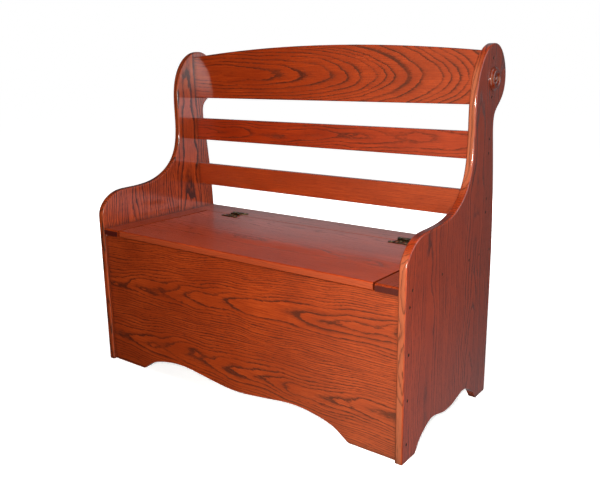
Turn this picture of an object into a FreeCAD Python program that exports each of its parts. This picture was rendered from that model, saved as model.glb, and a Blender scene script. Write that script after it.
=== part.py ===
import FreeCAD, Part
import os
import math
import Sketcher

# Settle bench with a storage box under a hinged seat lid.
# Millimetres.  +Z up, -Y is the front, origin at the bottom centre of the
# whole bench.  Depths in the sheet are measured from the front edge of the
# side panels, heights from the floor.

V = FreeCAD.Vector
doc = FreeCAD.newDocument("settle_bench")

# ---------------------------------------------------------------- dimensions
DIMS = [
    ("bench_width", 1070.0, "width over the two side panels"),
    ("panel_thick", 20.0, "side panel thickness"),
    ("panel_depth", 484.0, "side panel depth at the floor"),
    ("front_corner_height", 462.0, "height where the arm curve leaves the front edge"),
    ("rear_corner_height", 330.0, "height where the rear edge starts to curve"),
    ("foot_length", 64.0, "length of each side panel foot on the floor"),
    ("depth_shift", 258.53, "half of the overall depth"),
    ("edge_round", 4.0, "rounding of the side panel arrises"),
    ("board_thick", 19.0, "thickness of rails, lid and box boards"),
    ("rail_length", 1030.0, "length between the side panels"),
    ("rail_front", 417.5, "depth of the front faces of the back rails"),
    ("slat_height", 72.0, "height of the two back slats"),
    ("upper_slat_base", 667.5, "underside of the upper slat"),
    ("lower_slat_base", 513.0, "underside of the lower slat"),
    ("crest_base", 808.0, "underside of the crest rail"),
    ("crest_end_height", 134.0, "crest rail height at its ends"),
    ("crest_mid_height", 160.0, "crest rail height at the middle"),
    ("rail_round", 3.0, "rounding of the slat arrises"),
    ("crest_round", 4.0, "rounding of the crest rail top"),
    ("seat_base", 411.0, "underside of the seat boards"),
    ("lid_width", 893.0, "lid width"),
    ("lid_depth", 372.5, "lid depth"),
    ("lid_front", 6.0, "depth of the lid front edge"),
    ("lid_round", 5.0, "rounding of the lid front"),
    ("strip_round", 6.5, "rounding of the side strips' front ends"),
    ("rear_board_front", 381.5, "front edge of the fixed rear seat board"),
    ("rear_board_depth", 99.5, "depth of the fixed rear seat board"),
    ("strip_width", 61.5, "width of the fixed side strips"),
    ("strip_length", 378.5, "length of the fixed side strips"),
    ("strip_front", 3.0, "depth of the side strips' front ends"),
    ("front_panel_face", 11.0, "depth of the front panel face"),
    ("front_panel_height", 410.6, "front panel height"),
    ("front_round", 6.0, "rounding of the front panel top"),
    ("front_foot_length", 134.0, "length of each front panel foot"),
    ("back_panel_face", 454.0, "depth of the back panel inner face"),
    ("back_panel_base", 60.0, "underside of the back panel"),
    ("back_panel_height", 351.0, "back panel height"),
    ("bottom_base", 80.0, "underside of the box bottom"),
    ("bottom_thick", 12.0, "box bottom thickness"),
    ("bottom_depth", 424.0, "box bottom depth"),
    ("cleat_side", 20.0, "cleat section"),
    ("side_cleat_length", 384.0, "length of the side bottom cleats"),
    ("corner_cleat_height", 319.0, "height of the rear corner cleats"),
    ("batten_width", 45.0, "lid batten width"),
    ("batten_length", 290.0, "lid batten length"),
    ("batten_thick", 16.0, "lid batten thickness"),
    ("batten_offset", 250.0, "lid batten distance from the middle"),
    ("bolt_radius", 2.0, "panel screw shank radius"),
    ("bolt_clear_radius", 2.1, "panel screw clearance hole radius"),
    ("bolt_head_radius", 3.9, "panel screw head radius"),
    ("plug_radius", 4.0, "counterbore and plug radius"),
    ("counterbore_depth", 9.0, "counterbore depth"),
    ("plug_length", 4.7, "plug length"),
    ("bolt_grip", 30.0, "screw length in the rail end"),
    ("cleat_screw_radius", 2.0, "cleat and batten screw shank radius"),
    ("cleat_screw_head", 4.0, "cleat and batten screw head radius"),
    ("cleat_screw_grip", 12.0, "cleat screw length in the board behind"),
    ("hinge_offset", 318.0, "hinge distance from the middle"),
    ("hinge_depth", 380.0, "depth of the hinge axis"),
    ("leaf_thick", 1.8, "hinge leaf thickness"),
    ("leaf_length", 34.5, "hinge leaf reach from the axis"),
    ("leaf_half_width", 32.0, "half width of a hinge leaf at its tips"),
    ("barrel_radius", 3.0, "hinge barrel radius"),
    ("barrel_length", 34.0, "hinge barrel length"),
    ("pin_radius", 1.5, "hinge pin radius"),
    ("pin_bore_radius", 1.55, "bore of the lid leaf knuckles"),
    ("leaf_screw_radius", 1.6, "hinge screw shank radius"),
    ("leaf_screw_head", 3.1, "hinge screw head radius"),
    ("leaf_screw_grip", 13.0, "hinge screw length in the board"),
    ("rosette_radius", 30.0, "turned rosette radius"),
    ("rosette_depth", 438.0, "depth of the rosette centre"),
    ("rosette_height", 872.0, "height of the rosette centre"),
    ("spigot_radius", 6.0, "rosette spigot radius"),
    ("spigot_length", 8.0, "rosette spigot length"),
]
sheet = doc.addObject("Spreadsheet::Sheet", "Dimensions")
for row, (alias, value, note) in enumerate(DIMS, start=1):
    sheet.set("A%d" % row, note)
    sheet.set("B%d" % row, str(value))
    sheet.setAlias("B%d" % row, alias)
doc.recompute()


def dim(alias):
    return float(sheet.get(alias))


def ref(alias):
    return "Dimensions." + alias


half = dim("bench_width") / 2.0
inner = half - dim("panel_thick")
shift = -dim("depth_shift")
thick = dim("board_thick")
nodes = []


# ------------------------------------------------------------------- helpers
def new_body(name):
    body = doc.addObject("PartDesign::Body", name)
    body.Label = name
    nodes.append(body)
    return body


def origin_plane(body, role):
    for feature in body.Origin.OriginFeatures:
        if feature.Role == role:
            return feature
    raise RuntimeError("no plane " + role)


def new_sketch(body, role, name, offset=0.0):
    sketch = body.newObject("Sketcher::SketchObject", name)
    sketch.AttachmentSupport = [(origin_plane(body, role), "")]
    sketch.MapMode = "FlatFace"
    if offset:
        sketch.AttachmentOffset = FreeCAD.Placement(V(0, 0, offset), FreeCAD.Rotation())
    return sketch


def rectangle(sketch, width_alias, height_alias):
    w, h = dim(width_alias), dim(height_alias)
    pts = [V(0, 0, 0), V(w, 0, 0), V(w, h, 0), V(0, h, 0)]
    for i in range(4):
        sketch.addGeometry(Part.LineSegment(pts[i], pts[(i + 1) % 4]), False)
    for i in range(4):
        sketch.addConstraint(Sketcher.Constraint("Coincident", i, 2, (i + 1) % 4, 1))
    sketch.addConstraint(Sketcher.Constraint("Horizontal", 0))
    sketch.addConstraint(Sketcher.Constraint("Horizontal", 2))
    sketch.addConstraint(Sketcher.Constraint("Vertical", 1))
    sketch.addConstraint(Sketcher.Constraint("Vertical", 3))
    sketch.addConstraint(Sketcher.Constraint("Coincident", 0, 1, -1, 1))
    c = sketch.addConstraint(Sketcher.Constraint("DistanceX", 0, 1, 0, 2, w))
    sketch.renameConstraint(c, "across")
    sketch.setExpression("Constraints.across", ref(width_alias))
    c = sketch.addConstraint(Sketcher.Constraint("DistanceY", 1, 1, 1, 2, h))
    sketch.renameConstraint(c, "along")
    sketch.setExpression("Constraints.along", ref(height_alias))


def pad(body, sketch, alias, reverse=False):
    feature = body.newObject("PartDesign::Pad", "Pad_" + sketch.Name)
    feature.Profile = sketch
    feature.Length = dim(alias)
    feature.setExpression("Length", ref(alias))
    feature.Reversed = reverse
    doc.recompute()
    return feature


def pad_length(body, sketch, length, reverse=False):
    feature = body.newObject("PartDesign::Pad", "Pad_" + sketch.Name)
    feature.Profile = sketch
    feature.Length = length
    feature.Reversed = reverse
    doc.recompute()
    return feature


def round_edges(body, radius_alias, chosen, tag):
    """Round the edges of the body's tip for which chosen(edge) is true."""
    base = body.Tip
    names = []
    for i, edge in enumerate(base.Shape.Edges, start=1):
        if chosen(edge):
            names.append("Edge%d" % i)
    if not names:
        raise RuntimeError("no edges to round on " + body.Name)
    feature = body.newObject("PartDesign::Fillet", "Round_%s_%s" % (body.Name, tag))
    feature.Base = (base, names)
    feature.Radius = dim(radius_alias)
    feature.setExpression("Radius", ref(radius_alias))
    doc.recompute()
    return feature


def drill(body, role, offset, centres, radius_alias, depth, reverse, tag):
    """Cut round holes; the change of volume proves that they were cut."""
    before = body.Tip.Shape.Volume
    sketch = new_sketch(body, role, "Holes_%s_%s" % (body.Name, tag), offset)
    r = dim(radius_alias)
    first = None
    for n, (a, b) in enumerate(centres):
        g = sketch.addGeometry(Part.Circle(V(a, b, 0), V(0, 0, 1), r), False)
        sketch.addConstraint(Sketcher.Constraint("DistanceX", -1, 1, g, 3, a))
        sketch.addConstraint(Sketcher.Constraint("DistanceY", -1, 1, g, 3, b))
        if first is None:
            first = g
            c = sketch.addConstraint(Sketcher.Constraint("Radius", g, r))
            sketch.renameConstraint(c, "hole_radius")
            sketch.setExpression("Constraints.hole_radius", ref(radius_alias))
        else:
            sketch.addConstraint(Sketcher.Constraint("Equal", first, g))
    feature = body.newObject("PartDesign::Pocket", "Pocket_%s_%s" % (body.Name, tag))
    feature.Profile = sketch
    feature.Type = "Length"
    feature.Length = depth
    feature.Reversed = reverse
    doc.recompute()
    lost = before - feature.Shape.Volume
    if lost < 0.2 * math.pi * r * r * min(depth, 5.0) * len(centres):
        raise RuntimeError("holes cut nothing in %s %s" % (body.Name, tag))
    return feature


def place(body, x, y, z, rotation=None):
    body.Placement = FreeCAD.Placement(V(x, y + shift, z), rotation or FreeCAD.Rotation())


def along(edge, axis):
    """True for a straight edge parallel to the axis 0, 1 or 2."""
    if not isinstance(edge.Curve, Part.Line):
        return False
    d = edge.Curve.Direction
    return abs((d.x, d.y, d.z)[axis]) > 0.999


def mid(edge):
    return edge.valueAt((edge.FirstParameter + edge.LastParameter) / 2.0)


def board(name, width_alias, depth_alias, height_alias):
    body = new_body(name)
    sketch = new_sketch(body, "XY_Plane", "Outline_" + name)
    rectangle(sketch, width_alias, depth_alias)
    pad(body, sketch, height_alias)
    return body


# --------------------------------------------------------- screw positions
# depth and height of the screws through each side panel, by what they hold
crest_points = [(427.0, 923.0), (427.0, 827.0)]
upper_points = [(427.0, 722.0), (427.0, 685.0)]
lower_points = [(427.0, 566.0), (427.0, 530.0)]
strip_points = [(31.0, 420.5), (180.0, 420.5), (333.0, 420.5)]
rear_board_points = [(398.0, 420.5), (466.0, 420.5)]
front_points = [(20.5, 383.0), (20.5, 270.0), (20.5, 157.0), (20.5, 45.0)]
side_points = (crest_points + upper_points + lower_points + strip_points
               + rear_board_points + front_points)

# ------------------------------------------------------------- side panels
# Outline of arm, neck and ear, depth and height, from the front corner round
# to the rear edge.
SCROLL = [(0.0, 462.0), (1.9, 479.4), (8.8, 496.0), (20.6, 511.3), (36.3, 524.2), (54.9, 533.8),
          (75.7, 539.5), (100.6, 541.8), (132.8, 542.6), (163.0, 544.3), (190.8, 547.7), (216.4, 553.4),
          (239.9, 561.9), (261.7, 573.2), (281.2, 587.1), (297.7, 603.4), (310.6, 621.4), (320.2, 641.8),
          (327.0, 665.2), (331.0, 691.2), (332.7, 719.8), (332.7, 751.7), (332.1, 786.6), (332.7, 816.7),
          (335.5, 843.6), (340.9, 868.1), (349.2, 890.6), (360.7, 911.2), (374.8, 929.0), (391.0, 943.1),
          (408.9, 953.1), (428.1, 958.7), (447.1, 959.7), (464.5, 955.9), (480.5, 947.3), (494.6, 934.1),
          (505.9, 917.2), (513.5, 898.0), (516.8, 877.8), (515.5, 858.1), (509.9, 840.5), (499.7, 825.1),
          (483.5, 809.8), (463.9, 794.0), (454.8, 782.2), (451.0, 767.0), (451.0, 744.5), (454.8, 715.2),
          (459.8, 680.1), (464.5, 645.0), (468.6, 609.9), (472.4, 574.9), (475.6, 539.8), (478.3, 504.8),
          (480.5, 469.8), (482.2, 434.8), (483.3, 399.8), (483.9, 364.9), (484.0, 330.0)]
# Half of the cut-out between the feet: distance from its middle and height.
SIDE_CUT = [(0.0, 43.2), (17.0, 43.6), (30.0, 45.4), (46.0, 49.2), (63.0, 53.8), (77.0, 57.0), (90.0, 58.0),
            (102.0, 56.6), (113.5, 53.0), (130.5, 45.0), (146.5, 35.5), (159.0, 25.0), (168.5, 13.0), (175.0, 4.0)]


def side_panel(name, outer_at_start):
    body = new_body(name)
    sketch = new_sketch(body, "YZ_Plane", "Outline_" + name)
    depth = dim("panel_depth")
    foot = dim("foot_length")
    zf = dim("front_corner_height")
    zr = dim("rear_corner_height")
    middle = depth / 2.0
    half_cut = middle - foot
    # chord lengths as parameters keep the curve even and its ends tangent to
    # the straight front and rear edges
    points = [V(a, b, 0) for a, b in SCROLL]
    lengths = [0.0]
    for p, q in zip(points, points[1:]):
        lengths.append(lengths[-1] + (q - p).Length)
    scroll = Part.BSplineCurve()
    scroll.interpolate(Points=points, Parameters=lengths, InitialTangent=V(0, 1, 0),
                       FinalTangent=V(0, -1, 0), Scale=False)
    wave = ([V(middle + half_cut, 0, 0)]
            + [V(middle + a, b, 0) for a, b in reversed(SIDE_CUT)]
            + [V(middle - a, b, 0) for a, b in SIDE_CUT[1:]]
            + [V(middle - half_cut, 0, 0)])
    cut = Part.BSplineCurve()
    cut.interpolate(wave)
    # the long curve is laid in as five arcs of the same spline
    stops = [0, 12, 24, 36, 48, len(SCROLL) - 1]
    n = len(stops) - 1
    sketch.addGeometry(Part.LineSegment(V(0, 0, 0), V(0, zf, 0)), False)
    for i, j in zip(stops, stops[1:]):
        piece = scroll.copy()
        piece.segment(lengths[i], lengths[j])
        sketch.addGeometry(piece, False)
    sketch.addGeometry(Part.LineSegment(V(depth, zr, 0), V(depth, 0, 0)), False)
    sketch.addGeometry(Part.LineSegment(V(depth, 0, 0), V(depth - foot, 0, 0)), False)
    sketch.addGeometry(cut, False)
    sketch.addGeometry(Part.LineSegment(V(foot, 0, 0), V(0, 0, 0)), False)
    back = n + 1
    for i in range(n + 5):
        sketch.addConstraint(Sketcher.Constraint("Coincident", i, 2, (i + 1) % (n + 5), 1))
    sketch.addConstraint(Sketcher.Constraint("Coincident", 0, 1, -1, 1))
    sketch.addConstraint(Sketcher.Constraint("Vertical", 0))
    sketch.addConstraint(Sketcher.Constraint("Vertical", back))
    sketch.addConstraint(Sketcher.Constraint("Horizontal", back + 1))
    sketch.addConstraint(Sketcher.Constraint("Horizontal", back + 3))
    for kind, g, p, q, alias, value, label in (
            ("DistanceY", 0, 1, 2, "front_corner_height", zf, "front_edge"),
            ("DistanceY", back, 2, 1, "rear_corner_height", zr, "rear_edge"),
            ("DistanceX", back + 1, 2, 1, "foot_length", foot, "rear_foot"),
            ("DistanceX", back + 3, 2, 1, "foot_length", foot, "front_foot")):
        c = sketch.addConstraint(Sketcher.Constraint(kind, g, p, g, q, value))
        sketch.renameConstraint(c, label)
        sketch.setExpression("Constraints." + label, ref(alias))
    c = sketch.addConstraint(Sketcher.Constraint("DistanceX", 0, 1, back, 2, depth))
    sketch.renameConstraint(c, "floor_depth")
    sketch.setExpression("Constraints.floor_depth", ref("panel_depth"))
    pad(body, sketch, "panel_thick")
    t = dim("panel_thick")

    def arris(edge):
        box = edge.BoundBox
        flat = box.XLength < 0.01 and (abs(box.XMin) < 0.01 or abs(box.XMin - t) < 0.01)
        return flat and box.ZMax > 100.0

    round_edges(body, "edge_round", arris, "outline")
    if outer_at_start:
        drill(body, "YZ_Plane", -1.0, side_points, "bolt_clear_radius", t + 2.0, True, "through")
        drill(body, "YZ_Plane", 0.0, side_points, "plug_radius", dim("counterbore_depth"), True, "counterbore")
        drill(body, "YZ_Plane", 0.0, [(dim("rosette_depth"), dim("rosette_height"))],
              "spigot_radius", dim("spigot_length") + 0.3, True, "socket")
        place(body, -half, 0, 0)
    else:
        drill(body, "YZ_Plane", t + 1.0, side_points, "bolt_clear_radius", t + 2.0, False, "through")
        drill(body, "YZ_Plane", t, side_points, "plug_radius", dim("counterbore_depth"), False, "counterbore")
        drill(body, "YZ_Plane", t, [(dim("rosette_depth"), dim("rosette_height"))],
              "spigot_radius", dim("spigot_length") + 0.3, False, "socket")
        place(body, inner, 0, 0)
    return body


side_panel("left_side_panel", True)
side_panel("right_side_panel", False)

# ------------------------------------------------------- rails of the back
grip = dim("bolt_grip") - (dim("panel_thick") - dim("counterbore_depth")) + 11.0


def end_holes(body, points, depth0, base, tag):
    """Pilot holes in both ends of a piece whose local origin is its low corner."""
    local = [(a - depth0, b - base) for a, b in points]
    drill(body, "YZ_Plane", 0.0, local, "bolt_radius", dim("bolt_grip"), True, tag + "_left")
    drill(body, "YZ_Plane", dim("rail_length"), local, "bolt_radius", dim("bolt_grip"), False, tag + "_right")


crest = new_body("crest_rail")
sk = new_sketch(crest, "XZ_Plane", "Outline_crest_rail")
L = dim("rail_length")
he = dim("crest_end_height")
hm = dim("crest_mid_height")
sk.addGeometry(Part.LineSegment(V(0, 0, 0), V(L, 0, 0)), False)
sk.addGeometry(Part.LineSegment(V(L, 0, 0), V(L, he, 0)), False)
arch = Part.Arc(V(L, he, 0), V(L / 2.0, hm, 0), V(0, he, 0))
sk.addGeometry(arch, False)
sk.addGeometry(Part.LineSegment(V(0, he, 0), V(0, 0, 0)), False)
sk.addConstraint(Sketcher.Constraint("Coincident", 0, 1, -1, 1))
sk.addConstraint(Sketcher.Constraint("Coincident", 0, 2, 1, 1))
sk.addConstraint(Sketcher.Constraint("Coincident", 1, 2, 2, 1))
sk.addConstraint(Sketcher.Constraint("Coincident", 2, 2, 3, 1))
sk.addConstraint(Sketcher.Constraint("Coincident", 3, 2, 0, 1))
sk.addConstraint(Sketcher.Constraint("Horizontal", 0))
sk.addConstraint(Sketcher.Constraint("Vertical", 1))
sk.addConstraint(Sketcher.Constraint("Vertical", 3))
c = sk.addConstraint(Sketcher.Constraint("DistanceX", 0, 1, 0, 2, L))
sk.renameConstraint(c, "length")
sk.setExpression("Constraints.length", ref("rail_length"))
c = sk.addConstraint(Sketcher.Constraint("DistanceY", 1, 1, 1, 2, he))
sk.renameConstraint(c, "end_height")
sk.setExpression("Constraints.end_height", ref("crest_end_height"))
sk.addConstraint(Sketcher.Constraint("DistanceY", 3, 2, 3, 1, he))
radius = ((L / 2.0) ** 2 + (hm - he) ** 2) / (2.0 * (hm - he))
c = sk.addConstraint(Sketcher.Constraint("Radius", 2, radius))
sk.renameConstraint(c, "arch_radius")
pad(crest, sk, "board_thick", True)
round_edges(crest, "crest_round",
            lambda e: not isinstance(e.Curve, Part.Line) and e.BoundBox.YLength < 0.01, "top")
round_edges(crest, "rail_round",
            lambda e: along(e, 0) and mid(e).z < 0.01, "bottom")
end_holes(crest, crest_points, dim("rail_front"), dim("crest_base"), "bolt")
place(crest, -inner, dim("rail_front"), dim("crest_base"))

for name, base, points in (("upper_back_slat", "upper_slat_base", upper_points),
                           ("lower_back_slat", "lower_slat_base", lower_points)):
    slat = board(name, "rail_length", "board_thick", "slat_height")
    round_edges(slat, "rail_round", lambda e: along(e, 0), "long")
    end_holes(slat, points, dim("rail_front"), dim(base), "bolt")
    place(slat, -inner, dim("rail_front"), dim(base))

# --------------------------------------------------------- fixed seat boards
axis_z = dim("seat_base") + thick + dim("barrel_radius")
hx = dim("hinge_offset")
# hinge screw positions from the hinge centre, lid side
leaf_points = [(-22.2, -25.8), (22.2, -25.8), (0.0, -13.3)]

rear = board("rear_seat_board", "rail_length", "rear_board_depth", "board_thick")
zt = thick
wd = dim("rear_board_depth")
round_edges(rear, "lid_round", lambda e: along(e, 0) and mid(e).z > zt - 0.01 and mid(e).y > wd - 0.01, "rear")
local = []
for side in (-1.0, 1.0):
    for a, b in leaf_points:
        local.append((side * hx + a + inner, dim("hinge_depth") - b - dim("rear_board_front")))
drill(rear, "XY_Plane", thick, local, "leaf_screw_radius", dim("leaf_screw_grip"), False, "hinge")
end_holes(rear, rear_board_points, dim("rear_board_front"), dim("seat_base"), "bolt")
place(rear, -inner, dim("rear_board_front"), dim("seat_base"))

for name, x0 in (("left_seat_strip", -inner), ("right_seat_strip", inner - dim("strip_width"))):
    strip = board(name, "strip_width", "strip_length", "board_thick")
    round_edges(strip, "strip_round", lambda e: along(e, 0) and mid(e).z > zt - 0.01 and mid(e).y < 0.01, "front")
    local = [(a - dim("strip_front"), b - dim("seat_base")) for a, b in strip_points]
    if x0 < 0:
        drill(strip, "YZ_Plane", 0.0, local, "bolt_radius", dim("bolt_grip"), True, "bolt")
    else:
        drill(strip, "YZ_Plane", dim("strip_width"), local, "bolt_radius", dim("bolt_grip"), False, "bolt")
    place(strip, x0, dim("strip_front"), dim("seat_base"))

# ------------------------------------------------------------------ seat lid
lid = board("seat_lid", "lid_width", "lid_depth", "board_thick")
round_edges(lid, "lid_round", lambda e: along(e, 0) and mid(e).z > zt - 0.01 and mid(e).y < 0.01, "front_top")
round_edges(lid, "rail_round", lambda e: along(e, 0) and mid(e).z < 0.01 and mid(e).y < 0.01, "front_base")
lw = dim("lid_width")
local = []
for side in (-1.0, 1.0):
    for a, b in leaf_points:
        local.append((side * hx + a + lw / 2.0, dim("hinge_depth") + b - dim("lid_front")))
drill(lid, "XY_Plane", thick, local, "leaf_screw_radius", dim("leaf_screw_grip"), False, "hinge")
batten_y = 50.0
batten_screws = [80.0, 195.0, 310.0]
local = []
for side in (-1.0, 1.0):
    for b in batten_screws:
        local.append((side * dim("batten_offset") + lw / 2.0, b - dim("lid_front")))
drill(lid, "XY_Plane", 0.0, local, "cleat_screw_radius", dim("cleat_screw_grip"), True, "batten")
place(lid, -lw / 2.0, dim("lid_front"), dim("seat_base"))

for name, side in (("left_lid_batten", -1.0), ("right_lid_batten", 1.0)):
    batten = board(name, "batten_width", "batten_length", "batten_thick")
    round_edges(batten, "rail_round", lambda e: along(e, 1) and mid(e).z < 0.01, "long")
    drill(batten, "XY_Plane", dim("batten_thick"), [(dim("batten_width") / 2.0, b - batten_y) for b in batten_screws],
          "cleat_screw_radius", dim("batten_thick") + 1.0, False, "screw")
    place(batten, side * dim("batten_offset") - dim("batten_width") / 2.0, batten_y,
          dim("seat_base") - dim("batten_thick"))

# --------------------------------------------------------------- front panel
# Half of the cut-out along the floor: distance from the middle and height.
FRONT_CUT = [(0.0, 32.0), (31.0, 33.0), (54.0, 35.2), (78.0, 38.0), (102.0, 41.2), (125.0, 44.2), (149.0, 47.6),
             (174.0, 50.6), (200.0, 52.4), (225.0, 52.2), (248.0, 50.2), (272.0, 46.8), (296.0, 42.0), (317.0, 36.2),
             (336.0, 28.6), (352.0, 19.0), (366.0, 9.0), (375.0, 2.6)]
front = new_body("front_panel")
sk = new_sketch(front, "XZ_Plane", "Outline_front_panel")
hf = dim("front_panel_height")
ff = dim("front_foot_length")
half_cut = L / 2.0 - ff
wave = ([V(L / 2.0 + half_cut, 0, 0)]
        + [V(L / 2.0 + a, b, 0) for a, b in reversed(FRONT_CUT)]
        + [V(L / 2.0 - a, b, 0) for a, b in FRONT_CUT[1:]]
        + [V(L / 2.0 - half_cut, 0, 0)])
cut = Part.BSplineCurve()
cut.interpolate(wave)
sk.addGeometry(Part.LineSegment(V(0, 0, 0), V(0, hf, 0)), False)
sk.addGeometry(Part.LineSegment(V(0, hf, 0), V(L, hf, 0)), False)
sk.addGeometry(Part.LineSegment(V(L, hf, 0), V(L, 0, 0)), False)
sk.addGeometry(Part.LineSegment(V(L, 0, 0), V(L - ff, 0, 0)), False)
sk.addGeometry(cut, False)
sk.addGeometry(Part.LineSegment(V(ff, 0, 0), V(0, 0, 0)), False)
for i in range(6):
    sk.addConstraint(Sketcher.Constraint("Coincident", i, 2, (i + 1) % 6, 1))
sk.addConstraint(Sketcher.Constraint("Coincident", 0, 1, -1, 1))
sk.addConstraint(Sketcher.Constraint("Vertical", 0))
sk.addConstraint(Sketcher.Constraint("Horizontal", 1))
sk.addConstraint(Sketcher.Constraint("Vertical", 2))
sk.addConstraint(Sketcher.Constraint("Horizontal", 3))
sk.addConstraint(Sketcher.Constraint("Horizontal", 5))
for kind, g, p, q, alias, value, label in (
        ("DistanceY", 0, 1, 2, "front_panel_height", hf, "height"),
        ("DistanceX", 1, 1, 2, "rail_length", L, "length"),
        ("DistanceX", 3, 2, 1, "front_foot_length", ff, "right_foot"),
        ("DistanceX", 5, 2, 1, "front_foot_length", ff, "left_foot")):
    c = sk.addConstraint(Sketcher.Constraint(kind, g, p, g, q, value))
    sk.renameConstraint(c, label)
    sk.setExpression("Constraints." + label, ref(alias))
pad(front, sk, "board_thick", True)
round_edges(front, "front_round", lambda e: along(e, 0) and mid(e).z > hf - 0.01 and mid(e).y < 0.01, "top")
end_holes(front, front_points, dim("front_panel_face"), 0.0, "bolt")
# the bottom cleat is screwed on from inside the box
cleat_z = dim("bottom_base") - dim("cleat_side") / 2.0
long_cleat_x = [-440.0, -150.0, 150.0, 440.0]
drill(front, "XZ_Plane", -thick, [(x + inner, cleat_z) for x in long_cleat_x], "cleat_screw_radius",
      dim("cleat_screw_grip"), True, "cleat")
place(front, -inner, dim("front_panel_face"), 0)

# ---------------------------------------------------------- rest of the box
bp = board("back_panel", "rail_length", "board_thick", "back_panel_height")
bz = dim("back_panel_base")
drill(bp, "XZ_Plane", 0.0, [(x + inner, cleat_z - bz) for x in long_cleat_x], "cleat_screw_radius",
      dim("cleat_screw_grip"), False, "cleat")
rear_rows = [130.0, 225.0, 320.0]
rear_screw_x = inner - dim("cleat_side") / 2.0
drill(bp, "XZ_Plane", -thick - 1.0,
      [(side * rear_screw_x + inner, z - bz) for side in (-1.0, 1.0) for z in rear_rows],
      "cleat_screw_radius", thick + 2.0, True, "corner")
place(bp, -inner, dim("back_panel_face"), bz)

bottom = board("bottom_panel", "rail_length", "bottom_depth", "bottom_thick")
inner_front = dim("front_panel_face") + thick
place(bottom, -inner, inner_front, dim("bottom_base"))

cs = dim("cleat_side")
cz = dim("bottom_base") - cs
for name, y0 in (("front_bottom_cleat", inner_front), ("rear_bottom_cleat", dim("back_panel_face") - cs)):
    cleat = board(name, "rail_length", "cleat_side", "cleat_side")
    drill(cleat, "XZ_Plane", 0.0, [(x + inner, cs / 2.0) for x in long_cleat_x],
          "cleat_screw_radius", cs + 1.0, False, "screw")
    place(cleat, -inner, y0, cz)

side_cleat_y = [110.0, 374.0]
side_cleat_front = inner_front + cs
for name, x0 in (("left_bottom_cleat", -inner), ("right_bottom_cleat", inner - cs)):
    cleat = board(name, "cleat_side", "side_cleat_length", "cleat_side")
    place(cleat, x0, side_cleat_front, cz)
corner_z = dim("bottom_base") + dim("bottom_thick")
for name, x0 in (("left_corner_cleat", -inner), ("right_corner_cleat", inner - cs)):
    cleat = board(name, "cleat_side", "cleat_side", "corner_cleat_height")
    drill(cleat, "XZ_Plane", -cs, [(cs / 2.0, z - corner_z) for z in rear_rows],
          "cleat_screw_radius", dim("cleat_screw_grip"), True, "screw")
    place(cleat, x0, dim("back_panel_face") - cs, corner_z)

# -------------------------------------------------------------------- hinges
# Ornamental surface hinges: the barrel lies over the joint between the lid
# and the rear board, with its lowest line on the seat surface.
bl = dim("barrel_length")
seg = bl / 5.0
gap = 0.3
rr = dim("leaf_half_width")
ln = dim("leaf_length")
hw = bl / 2.0


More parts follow.
